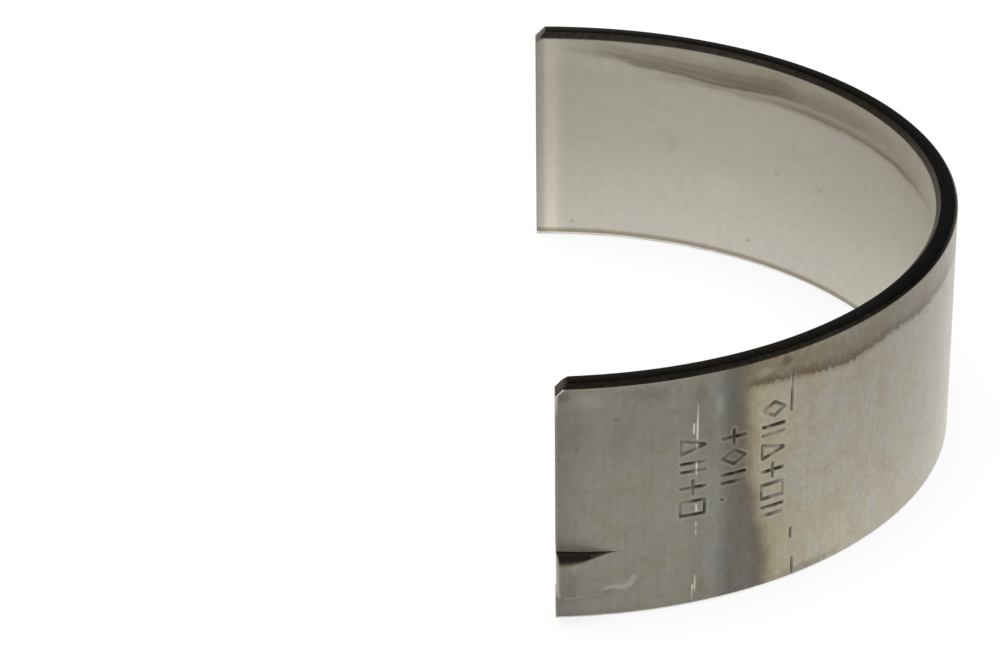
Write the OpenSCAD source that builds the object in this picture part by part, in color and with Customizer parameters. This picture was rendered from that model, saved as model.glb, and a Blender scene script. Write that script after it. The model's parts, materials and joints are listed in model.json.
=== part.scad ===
// Half shell of a split plain bearing, free and standing on one side face.
// Millimetres, +Z along the bore axis, +X from the bore axis to the crown.
// The origin is on the bore axis at half the width. The joint faces look to -X.

/* [Shell] */
// Diameter across the steel back, as the free shell stands
back_d = 60.76; // [48:0.02:76]
// Wall from the back to the running surface
wall = 1.6; // [1.3:0.05:2.4]
// Width along the bore axis
width = 18; // [14:0.1:30]
// How far the joint faces stand from the bore axis, toward the crown
joint_offset = 0.4; // [0:0.05:1]

/* [Edges] */
// Chamfer where the running surface meets each side face
bore_chamfer = 0.38; // [0.1:0.01:0.6]
// Chamfer where the back meets each side face
back_chamfer = 0.27; // [0.1:0.01:0.5]
// Chamfer across the upper corner of each joint face
corner_chamfer = 0.72; // [0.4:0.01:1.6]
// Edge break along the inner edge of each joint face
edge_break = 0.16; // [0.05:0.01:0.3]

/* [Crush relief] */
// How much the running surface stands back at the joint faces
relief_depth = 0.03; // [0.015:0.005:0.08]
// Length of the relief, from each joint face
relief_length = 1.6; // [1.2:0.1:8]

/* [Locating tang] */
// From the lower side face to the foot of the tang
tang_low = 1.8; // [1:0.1:4]
// Height of the tang, from its foot to its sheared upper wall
tang_width = 3.45; // [2.6:0.05:5]
// Length of the ramp along the back, from the joint face
tang_length = 4.6; // [3:0.1:8]
// How far the end of the tang stands out from the back
tang_lift = 1.45; // [0.6:0.05:1.8]
// How far the end of the tang leans back from the joint face at its outer edge
tang_setback = 0.25; // [0.05:0.01:0.5]
// Angle between the back and the lower flank of the tang
tang_flank = 56; // [40:1:75]
// Angle at which the foot of the flank climbs along the ramp
tang_climb = 7; // [0:1:12]

/* [Pocket behind the tang] */
// From the lower side face to the lower wall of the pocket
pocket_low = 1.95; // [1:0.05:4.5]
// Height of the pocket
pocket_width = 2.6; // [1.5:0.1:4]
// Length of the pocket floor, from the joint face
pocket_length = 1.9; // [1:0.1:4]
// Depth of the pocket at the joint face
pocket_depth = 1.05; // [0.4:0.05:1.1]

/* [Hidden] */
eps = 0.01;
steel_colour = [0.56, 0.55, 0.52];
$fn = 180;

back_r = back_d / 2;
bore_r = back_r - wall;
half_w = width / 2;
reach = back_d;                          // larger than the shell, for the cutting blocks
bore_end = sqrt(bore_r * bore_r - joint_offset * joint_offset);
back_end = sqrt(back_r * back_r - joint_offset * joint_offset);

// Relief: a wider bore, its axis moved away from the crown. It stands back by
// relief_depth at the joint faces and meets the running surface at relief_length.
relief_end = bore_end + relief_depth;
relief_shift = relief_depth * (bore_end + relief_end) / (2 * relief_length);
relief_r = sqrt(pow(joint_offset + relief_shift, 2) + relief_end * relief_end);

// Tang: its ramp runs from the back at tang_length to tang_lift at the end.
tang_z = -half_w + tang_low;
ramp_angle = asin(joint_offset / back_r) + tang_length / back_r * 180 / PI;
root_r = back_r - wall / 2;
root_end = sqrt(root_r * root_r - joint_offset * joint_offset);

// Pocket: its floor leaves the running surface at pocket_length.
pocket_z = -half_w + pocket_low;
pocket_x = joint_offset + pocket_length;
pocket_root = sqrt(bore_r * bore_r - pocket_x * pocket_x);

// Outline of the wall, cut across: flat side faces with a chamfer at each edge.
module wall_section() {
    polygon([
        [bore_r, -half_w + bore_chamfer],
        [bore_r + bore_chamfer, -half_w],
        [back_r - back_chamfer, -half_w],
        [back_r, -half_w + back_chamfer],
        [back_r, half_w - back_chamfer],
        [back_r - back_chamfer, half_w],
        [bore_r + bore_chamfer, half_w],
        [bore_r, half_w - bore_chamfer]
    ]);
}

// The rolled strip, up to the joint faces.
module half_ring() {
    intersection() {
        rotate_extrude() wall_section();
        translate([joint_offset, -reach, -width]) cube([reach, 2 * reach, 2 * width]);
    }
}

// Takes the upper corner off both joint faces.
module corner_cut() {
    translate([joint_offset, 0, half_w]) rotate([0, 45, 0])
        cube([corner_chamfer * sqrt(2), 2 * reach, corner_chamfer * sqrt(2)], center = true);
}

// Breaks the inner edge of both joint faces.
module edge_break_cut() {
    for (end = [-1, 1])
        translate([joint_offset, end * relief_end, 0]) rotate([0, 0, 45])
            cube([edge_break * sqrt(2), edge_break * sqrt(2), 2 * width], center = true);
}

// Eccentric bore that only reaches the running surface beside the joint faces.
module relief_cut() {
    translate([-relief_shift, 0, -width]) cylinder(r = relief_r, h = 2 * width);
}

// Plan of the ramp, rooted half way into the wall. Its end starts at the joint face
// and leans back as it stands out.
module ramp_plan() {
    polygon([
        [root_r * sin(ramp_angle), -root_r * cos(ramp_angle)],
        [back_r * sin(ramp_angle), -back_r * cos(ramp_angle)],
        [joint_offset + tang_setback, -back_end - tang_lift],
        [joint_offset, -back_end],
        [joint_offset, -root_end]
    ]);
}

// Lanced tang: sheared square along the top, formed to a sloping flank below.
module tang() {
    intersection() {
        translate([0, 0, tang_z]) linear_extrude(tang_width) ramp_plan();
        translate([joint_offset, -back_end, tang_z])
            rotate([0, -tang_climb, 0]) rotate([tang_flank - 90, 0, 0])
                translate([-reach / 2, -reach / 2, 0]) cube(reach);
    }
}

// Floor of the pocket slopes from the running surface down to the joint face.
module pocket_cut() {
    translate([0, 0, pocket_z]) linear_extrude(pocket_width) polygon([
        [pocket_x, -bore_end + pocket_depth],
        [pocket_x, -pocket_root],
        [joint_offset - eps, -bore_end - pocket_depth],
        [joint_offset - eps, -bore_end + pocket_depth]
    ]);
}

module bearing_shell() {
    color(steel_colour) difference() {
        union() {
            half_ring();
            tang();
        }
        pocket_cut();
        relief_cut();
        edge_break_cut();
        corner_cut();
    }
}

bearing_shell();
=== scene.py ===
# Half shell of a split plain bearing, standing on one side face.
# The strip is laid out flat in millimetres, then one node tree stamps it, lances the tang and rolls it up.
import json
import math

import bpy
from mathutils import Matrix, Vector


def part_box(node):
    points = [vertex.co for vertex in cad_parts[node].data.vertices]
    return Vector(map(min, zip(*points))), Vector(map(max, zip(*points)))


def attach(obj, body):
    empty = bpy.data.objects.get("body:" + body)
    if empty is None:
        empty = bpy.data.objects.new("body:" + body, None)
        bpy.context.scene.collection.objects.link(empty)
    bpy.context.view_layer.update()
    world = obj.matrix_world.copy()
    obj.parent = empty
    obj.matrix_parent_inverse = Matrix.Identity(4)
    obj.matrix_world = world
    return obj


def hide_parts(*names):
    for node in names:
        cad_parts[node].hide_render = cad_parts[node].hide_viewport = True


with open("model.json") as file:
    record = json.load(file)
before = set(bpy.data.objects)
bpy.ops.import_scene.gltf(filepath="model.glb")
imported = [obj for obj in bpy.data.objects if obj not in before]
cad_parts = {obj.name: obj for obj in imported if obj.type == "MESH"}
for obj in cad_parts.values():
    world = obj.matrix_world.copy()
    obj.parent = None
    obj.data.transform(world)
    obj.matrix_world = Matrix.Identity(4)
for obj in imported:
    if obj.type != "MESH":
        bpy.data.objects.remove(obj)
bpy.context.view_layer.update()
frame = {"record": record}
scene = bpy.context.scene
mm = 0.001
white = (1, 1, 1, 1)
print("frame loaded")


def toLinear(colour):
    parts = [int(colour[i:i + 2], 16) / 255 for i in (1, 3, 5)]
    return [c / 12.92 if c < 0.04045 else ((c + 0.055) / 1.055) ** 2.4 for c in parts] + [1.0]


# One node with its settings and links. Inputs go by name or by place, and stops fill a ramp.
# From and To take both ends of a range. Gives back the first output that is in use.
def addNode(tree, kind, inputs={}, stops=(), **settings):
    made = tree.nodes.new(kind)
    for name, value in settings.items():
        setattr(made, name, value)
    inUse = [socket for socket in made.inputs if socket.enabled]
    for key, wanted in inputs.items():
        ends = zip((key + " Min", key + " Max"), wanted) if key in ("From", "To") else [(key, wanted)]
        for name, value in ends:
            socket = inUse[name] if isinstance(name, int) else next(s for s in inUse if s.name == name)
            if isinstance(value, bpy.types.NodeSocket):
                tree.links.new(value, socket)
            else:
                socket.default_value = value
    for i, (place, value) in enumerate(stops):
        steps = made.color_ramp.elements
        step = steps[i] if i < 2 else steps.new(place)
        step.position = place
        step.color = toLinear(value) if isinstance(value, str) else (value, value, value, 1)
    return next((socket for socket in made.outputs if socket.enabled), made)


# Camera, floor and light

photoView = {
    "place": (-4.536, -233.965, 119.544),  # mm, from the bore axis at half the width
    "tilt": 27.481,  # degrees below the horizon
    "turn": -0.3925,
    "roll": -0.7047,
    "lens": 127.74,  # mm
    "sensor": 36,
}

camera = bpy.data.objects.new("camera", bpy.data.cameras.new("camera"))
camera.data.lens = photoView["lens"]
camera.data.sensor_width = photoView["sensor"]
camera.matrix_world = (
    Matrix.Translation([c * mm for c in photoView["place"]])
    @ Matrix.Rotation(math.radians(photoView["turn"]), 4, "Z")
    @ Matrix.Rotation(math.radians(90 - photoView["tilt"]), 4, "X")
    @ Matrix.Rotation(math.radians(photoView["roll"]), 4, "Z")
)
scene.collection.objects.link(camera)
scene.camera = camera
scene.view_settings.view_transform = "Standard"

studio = {
    "floorSize": 2400,  # mm
    "paper": 0.12,  # the part of the floor's white that is lit, so can be in shadow
    "glow": 0.82,  # and the part that glows
    "lampSize": 600,
    "lampHeight": 700,
    "lampWatts": 5.0,
    "ambient": 1.2,
    "dome": [(0.0, 1.0), (0.12, 1.0), (0.3, 0.55), (0.5, 0.2), (0.8, 0.09), (1.0, 0.07)],  # horizon to zenith
}


# White paper. It glows to the camera and in reflections, and the rest of its white can fall in shadow.
def whitePaper():
    material = bpy.data.materials.new("whitePaper")
    material.use_nodes = True
    tree = material.node_tree
    tree.nodes.clear()
    rays = addNode(tree, "ShaderNodeLightPath").node.outputs
    shown = rays["Is Camera Ray"]
    for name in ("Is Glossy Ray", "Is Transmission Ray"):
        shown = addNode(tree, "ShaderNodeMath", {0: shown, 1: rays[name]}, operation="ADD")
    glowing = addNode(tree, "ShaderNodeMath", {0: shown, 1: studio["glow"]}, operation="MULTIPLY")
    paper = addNode(tree, "ShaderNodeBsdfDiffuse", {"Color": (studio["paper"],) * 3 + (1,)})
    glow = addNode(tree, "ShaderNodeEmission", {"Color": white, "Strength": glowing})
    both = addNode(tree, "ShaderNodeAddShader", {0: paper, 1: glow})
    addNode(tree, "ShaderNodeOutputMaterial", {"Surface": both})
    return material


low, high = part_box("bearing_shell")
half = studio["floorSize"] / 2 * mm
corners = [(x * half, y * half, low.z) for x, y in ((-1, -1), (1, -1), (1, 1), (-1, 1))]
paper = bpy.data.meshes.new("floor")
paper.from_pydata(corners, [], [(0, 1, 2, 3)])
paper.materials.append(whitePaper())
floor = bpy.data.objects.new("floor", paper)
scene.collection.objects.link(floor)

lamp = bpy.data.objects.new("softbox", bpy.data.lights.new("softbox", "AREA"))
lamp.data.size = studio["lampSize"] * mm
lamp.data.energy = studio["lampWatts"]
lamp.location = (0, 0, studio["lampHeight"] * mm)
lamp.visible_glossy = False  # the metal shows the room, not the lamp
scene.collection.objects.link(lamp)

# The room is white round the horizon and dim overhead, so that what faces up reads dark.
world = bpy.data.worlds.new("studio")
scene.world = world
world.use_nodes = True
tree = world.node_tree
tree.nodes.clear()
rays = addNode(tree, "ShaderNodeLightPath").node.outputs
direction = addNode(tree, "ShaderNodeTexCoord").node.outputs["Generated"]
height = addNode(tree, "ShaderNodeSeparateXYZ", {0: direction}).node.outputs["Z"]
dome = addNode(tree, "ShaderNodeValToRGB", {0: height}, stops=studio["dome"])
grey = (studio["ambient"],) * 3 + (1,)
room = addNode(tree, "ShaderNodeMix", {"Factor": rays["Is Glossy Ray"], "A": grey, "B": dome},
               data_type="RGBA")
seen = addNode(tree, "ShaderNodeMath", {0: rays["Is Camera Ray"], 1: rays["Is Transmission Ray"]},
               operation="MAXIMUM")
shown = addNode(tree, "ShaderNodeMix", {"Factor": seen, "A": room, "B": white}, data_type="RGBA")
light = addNode(tree, "ShaderNodeBackground", {"Color": shown})
addNode(tree, "ShaderNodeOutputWorld", {"Surface": light})
print("camera, floor and light set")


# The flat strip: x along it from the front joint face, y from the bore to the back, z up from the lower side

journal = next(mount for mount in frame["record"]["mounts"] if mount["name"] == "journal_bore")
backRadius = high.x / mm
boreRadius = journal["dims"]["r_mm"]
wall = backRadius - boreRadius
width = (high.z - low.z) / mm
jointOffset = low.x / mm
backEnd = math.sqrt(backRadius ** 2 - jointOffset ** 2)
stripLength = backRadius * (math.pi - 2 * math.asin(jointOffset / backRadius))

strip = {
    "lowerChamfers": (0.38, 0.27),  # at the bore and at the back
    # the upper side was cut unevenly: place along the strip, chamfer at the bore, chamfer at the back
    "upperChamfers": [
        (0.0, 0.29, 0.38), (7.0, 0.29, 0.38), (12.0, 0.29, 0.33), (26.0, 0.29, 0.27), (45.0, 0.38, 0.2),
        (60.0, 0.45, 0.2), (80.0, 0.43, 0.2), (86.0, 0.47, 0.15), (95.0, 0.47, 0.1),
    ],
    "cornerChamfer": 0.82,  # upper corner of each joint face
    "cornerReach": 3.0,  # columns lean to the cut corner over this length
    "edgeBreak": 0.16,  # inner edge of each joint face
    "edgeRound": 0.05,
    "reliefDepth": 0.03,
    "reliefLength": 1.6,
    "edgeRows": 0.7,  # rows this near a side face belong to its profile
    "wallGap": 0.012,  # half the height of a sheared wall's own row
    "sharpAngle": 50,  # degrees, edges sharper than this aren't shaded smooth
}

tang = {
    "foot": 1.8,
    "top": 5.11,
    "topTilt": 0.27,  # the sheared line is this much higher at the end
    "topTiltLength": 4.5,
    "topTiltHeight": 1.3,
    "plateau": 0.8,  # full lift up to here
    "run": 4.7,  # from the plateau to the end of the ramp
    "sink": 0.5,  # the ramp aims this far below the back, so that it meets the back at a slant
    "lift": -low.y / mm - backEnd,
    "flank": 64,  # degrees
    "climb": 6,
    "formRadius": 0.3,
    "footRadius": 0.3,
    "edgeRoll": 0.7,  # height of the drawn-over upper edge
    "edgeDrop": 0.3,  # and how much of the lift it takes
    "endRoll": 0.22,
    "endDrop": 0.12,
    "setback": 0.15,  # the end leans back by this at its outer edge
    "setbackFoot": 0.25,  # the lean starts this far over the foot
    "setbackRise": 0.3,
    "setbackReach": 1.5,
}

pocket = {
    "low": 1.95,
    "top": 4.55,
    "length": 1.9,
    "depth": 1.05,
    "softTop": 0.9,  # it gets shallower over this height
    "topShare": 0.3,  # down to this share of its depth
}

# Steps between rows and columns of the mesh, finest where the press tools work, and places where they change.
meshSteps = {
    "boreFoot": 0.45,
    "pocket": 0.12,
    "overPocket": 0.34,
    "boreTop": 0.6,
    "corner": 0.12,
    "backFoot": 0.2,
    "tangFoot": 0.08,
    "tangFace": 0.14,
    "edgeRoll": 0.06,
    "marksRow": 0.075,
    "backTop": 0.3,
    "endRoll": 0.04,
    "tangRamp": 0.12,
    "tangTail": 0.3,
    "marksColumn": 0.07,
    "plain": 0.8,
    "rearEnd": 0.3,
}
meshPlaces = {
    "tangFoot": 1.4,
    "tangFace": 3.4,
    "marksTop": 14.8,
    "endMargin": 0.02,  # past the rounded end of the tang
    "tangTail": 6.0,
    "marksStart": 8.1,
    "marksEnd": 17.6,
    "rearEnd": 2.4,  # before the rear joint face
}


# Places along a line, each stretch given by its start and its step.
def stations(stretches, end):
    places = []
    for (start, step), (stop, nextStep) in zip(stretches, stretches[1:] + [(end, 0)]):
        count = max(1, round((stop - start) / step))
        places += [start + (stop - start) * i / count for i in range(count)]
    return places + [end]


def chamfersAt(x):
    cuts = strip["upperChamfers"]
    for (start, *sizes), (end, *nextSizes) in zip(cuts, cuts[1:]):
        if x <= end:
            share = (x - start) / (end - start)
            return [a + (b - a) * share for a, b in zip(sizes, nextSizes)]


# Upper end of the section, from the bore to the back: chamfer, side face, chamfer, with rounded corners.
def sideProfile(boreChamfer, backChamfer):
    corners = [
        (0, width - strip["edgeRows"]),
        (0, width - boreChamfer),
        (boreChamfer, width),
        (wall - backChamfer, width),
        (wall, width - backChamfer),
        (wall, width - strip["edgeRows"]),
    ]
    points = []
    for before, corner, after in zip(corners, corners[1:], corners[2:]):
        ends = []
        for other in (before, after):
            reach = math.dist(corner, other)
            ends.append([c + (o - c) * strip["edgeRound"] / reach for c, o in zip(corner, other)])
        middle = [a / 4 + c / 2 + b / 4 for a, c, b in zip(ends[0], corner, ends[1])]  # of a smooth curve
        points += [ends[0], middle, ends[1]]
    return points


# Triangles between two rising rows of points, given as their heights and their numbers.
def bridge(inner, outer):
    faces = []
    i = j = 0
    while i < len(inner) - 1 or j < len(outer) - 1:
        stepInner = j == len(outer) - 1 or (i < len(inner) - 1 and inner[i + 1][0] <= outer[j + 1][0])
        if stepInner:
            faces.append((inner[i][1], inner[i + 1][1], outer[j][1]))
            i += 1
        else:
            faces.append((inner[i][1], outer[j + 1][1], outer[j][1]))
            j += 1
    return faces


def layStrip():
    gap = strip["wallGap"]
    shoulder = width - strip["cornerChamfer"]
    boreRows = stations([
        (strip["edgeRows"], meshSteps["boreFoot"]),
        (pocket["low"] - gap, 2 * gap),
        (pocket["low"] + gap, meshSteps["pocket"]),
        (pocket["top"] - gap, 2 * gap),
        (pocket["top"] + gap, meshSteps["overPocket"]),
        (tang["top"] - gap, 2 * gap),
        (tang["top"] + gap, meshSteps["boreTop"]),
        (shoulder, meshSteps["corner"]),
    ], width - strip["edgeRows"])
    backRows = stations([
        (strip["edgeRows"], meshSteps["backFoot"]),
        (meshPlaces["tangFoot"], meshSteps["tangFoot"]),
        (meshPlaces["tangFace"], meshSteps["tangFace"]),
        (tang["top"] - tang["edgeRoll"], meshSteps["edgeRoll"]),
        (tang["top"] - gap, 2 * gap),
        (tang["top"] + gap, meshSteps["marksRow"]),
        (meshPlaces["marksTop"], meshSteps["backTop"]),
        (shoulder, meshSteps["corner"]),
    ], width - strip["edgeRows"])
    columns = stations([
        (0, meshSteps["endRoll"]),
        (tang["endRoll"] + meshPlaces["endMargin"], meshSteps["tangRamp"]),
        (meshPlaces["tangTail"], meshSteps["tangTail"]),
        (meshPlaces["marksStart"], meshSteps["marksColumn"]),
        (meshPlaces["marksEnd"], meshSteps["plain"]),
        (stripLength - meshPlaces["rearEnd"], meshSteps["rearEnd"]),
        (stripLength - strip["edgeBreak"], strip["edgeBreak"]),
    ], stripLength)
    bore = [(0, z) for z in boreRows]
    back = [(wall, z) for z in reversed(backRows)]
    profile = sideProfile(*strip["lowerChamfers"])
    lower = [(t, width - z) for t, z in reversed(profile)]

    points = []
    for x in columns:
        section = bore + sideProfile(*chamfersAt(x)) + back + lower
        toEnd = min(x, stripLength - x)
        setIn = max(0, strip["edgeBreak"] - toEnd)
        setIn += strip["reliefDepth"] * max(0, 1 - toEnd / strip["reliefLength"])
        for t, z in section:
            cut = max(0, z - shoulder) * max(0, 1 - toEnd / strip["cornerReach"])
            lean = cut if x < stripLength / 2 else -cut
            points.append((x + lean, t + setIn * (1 - t / wall), z))

    size = len(section)
    faces = []
    for c in range(len(columns) - 1):
        for p in range(size):
            q = (p + 1) % size
            faces.append((c * size + p, c * size + q, (c + 1) * size + q, (c + 1) * size + p))
    # each joint face is bridged from the bore to the back, and closed above and below by the side profiles
    topBore = len(boreRows) - 1
    topBack = topBore + len(profile) + 1
    bottomBack = topBack + len(backRows) - 1
    inner = [(z, i) for i, z in enumerate(boreRows)]
    outer = [(z, bottomBack - i) for i, z in enumerate(backRows)]
    ends = bridge(inner, outer) + [tuple(range(topBore, topBack + 1)), tuple(range(bottomBack, size)) + (0,)]
    for face in ends:
        faces.append(tuple(reversed(face)))
        faces.append(tuple(p + (len(columns) - 1) * size for p in face))

    flat = bpy.data.meshes.new("flatStrip")
    flat.from_pydata(points, [], faces)
    print("strip laid out:", len(columns), "columns,", size, "points round,", len(faces), "faces")
    return flat


# What the press tools leave on the back: stamped marks in plain shapes, scribed lines, and beads at the tang

marks = {
    "columns": [
        {"middle": 9.4, "top": 12.4, "pitch": 1.58, "shapes": ["triangle", "bars", "cross", "box"]},
        {"middle": 12.4, "top": 12.5, "pitch": 1.56, "shapes": ["cross", "diamond", "bars", "pip"]},
        {"middle": 15.5, "top": 13.8, "pitch": 1.56,
         "shapes": ["diamond", "bars", "triangle", "cross", "box", "bars"]},
    ],
    "length": 1.75,  # along the strip
    "height": 1.05,
    "toolLines": [((17.0, 15.9), (16.95, 13.3)), ((17.15, 4.0), (17.15, 3.3)), ((17.35, 1.6), (17.35, 0.4))],
}

scribes = [
    ((9.7, 15.6), (9.66, 12.9)),
    ((9.42, 14.1), (9.41, 13.4)),
    ((9.66, 12.5), (9.66, 12.2)),
    ((9.64, 11.1), (9.64, 10.2)),
    ((9.66, 7.9), (9.66, 7.4)),
    ((9.66, 6.5), (9.65, 5.6)),
    ((9.66, 2.3), (9.62, 1.2)),
    ((9.46, 1.6), (9.4, 0.4)),
]

beads = [
    ((0.7, 1.72), (2.0, 1.88), (3.2, 2.14)),
    ((3.3, 2.42), (4.0, 2.36), (4.6, 2.24), (5.1, 2.5), (5.3, 2.95)),
]

# in a square of size 1
outlines = {
    "box": [[(-0.5, -0.5), (0.5, -0.5), (0.5, 0.5), (-0.5, 0.5), (-0.5, -0.5)]],
    "diamond": [[(-0.5, 0), (0, -0.5), (0.5, 0), (0, 0.5), (-0.5, 0)]],
    "triangle": [[(-0.5, -0.5), (0.5, 0), (-0.5, 0.5), (-0.5, -0.5)]],
    "cross": [[(-0.5, 0), (0.5, 0)], [(0, -0.5), (0, 0.5)]],
    "bars": [[(-0.5, -0.3), (0.5, -0.3)], [(-0.5, 0.3), (0.5, 0.3)]],
    "pip": [[(-0.5, 0), (-0.45, 0)]],
}


# Strokes as loose edges in the plane of the flat strip.
def strokeObject(name, lines):
    points = []
    edges = []
    for line in lines:
        edges += [(len(points) + i, len(points) + i + 1) for i in range(len(line) - 1)]
        points += [(x, 0, z) for x, z in line]
    strokes = bpy.data.meshes.new(name)
    strokes.from_pydata(points, edges, [])
    return bpy.data.objects.new(name, strokes)


def markLines():
    lines = list(marks["toolLines"])
    for column in marks["columns"]:
        for i, shape in enumerate(column["shapes"]):
            z = column["top"] - i * column["pitch"]
            for outline in outlines[shape]:
                lines.append([
                    (column["middle"] + u * marks["length"], z + v * marks["height"]) for u, v in outline
                ])
    return lines


# Press and roll, as one tree

pressSizes = {
    "Wall": wall,
    "Bore radius": boreRadius,
    "Joint offset": jointOffset,
    "Strip length": stripLength,
    "Half width": width / 2,
    "Tang foot": tang["foot"],
    "Tang top": tang["top"],
    "Top tilt": tang["topTilt"],
    "Top tilt length": tang["topTiltLength"],
    "Top tilt height": tang["topTiltHeight"],
    "Ramp start": tang["plateau"],
    "Ramp end": tang["plateau"] + tang["run"],
    "Ramp aim": -tang["sink"],
    "Tang lift": tang["lift"],
    "Flank slope": math.tan(math.radians(tang["flank"])),
    "Climb slope": math.tan(math.radians(tang["climb"])),
    "Form radius": tang["formRadius"],
    "Foot radius": tang["footRadius"],
    "Edge roll": tang["edgeRoll"],
    "Edge drop": tang["edgeDrop"],
    "End roll": tang["endRoll"],
    "End drop": tang["endDrop"],
    "Setback": tang["setback"],
    "Setback foot": tang["setbackFoot"],
    "Setback rise": tang["setbackRise"],
    "Setback reach": tang["setbackReach"],
    "Pocket low": pocket["low"],
    "Pocket top": pocket["top"],
    "Pocket length": pocket["length"],
    "Pocket depth": pocket["depth"],
    "Pocket soft top": pocket["softTop"],
    "Pocket top share": pocket["topShare"],
    "Mark width": 0.2,
    "Mark depth": 0.11,
    "Lip width": 0.4,
    "Lip height": 0.05,
    "Scribe width": 0.09,
    "Scribe depth": 0.015,
    "Bead width": 0.34,
    "Bead height": 0.022,
    "Back skin": 0.03,  # faces this near the back or the bore have its finish
    "Bore skin": 0.12,
}

# The stamps hit harder in some places than in others.
stampForce = {
    "patch": 4 / 3,
    "noise": (0.36, 0.56),  # from the least force to the full force
    "least": 0.3,
}


# How far a quarter round has fallen, from 0 where it starts to 1 at its end.
def quarterRound(tree, share):
    square = addNode(tree, "ShaderNodeMath", {0: share, 1: share}, operation="MULTIPLY")
    left = addNode(tree, "ShaderNodeMath", {0: 1, 1: square}, operation="SUBTRACT")
    rise = addNode(tree, "ShaderNodeMath", {0: left}, operation="SQRT")
    return addNode(tree, "ShaderNodeMath", {0: 1, 1: rise}, operation="SUBTRACT")


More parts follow.
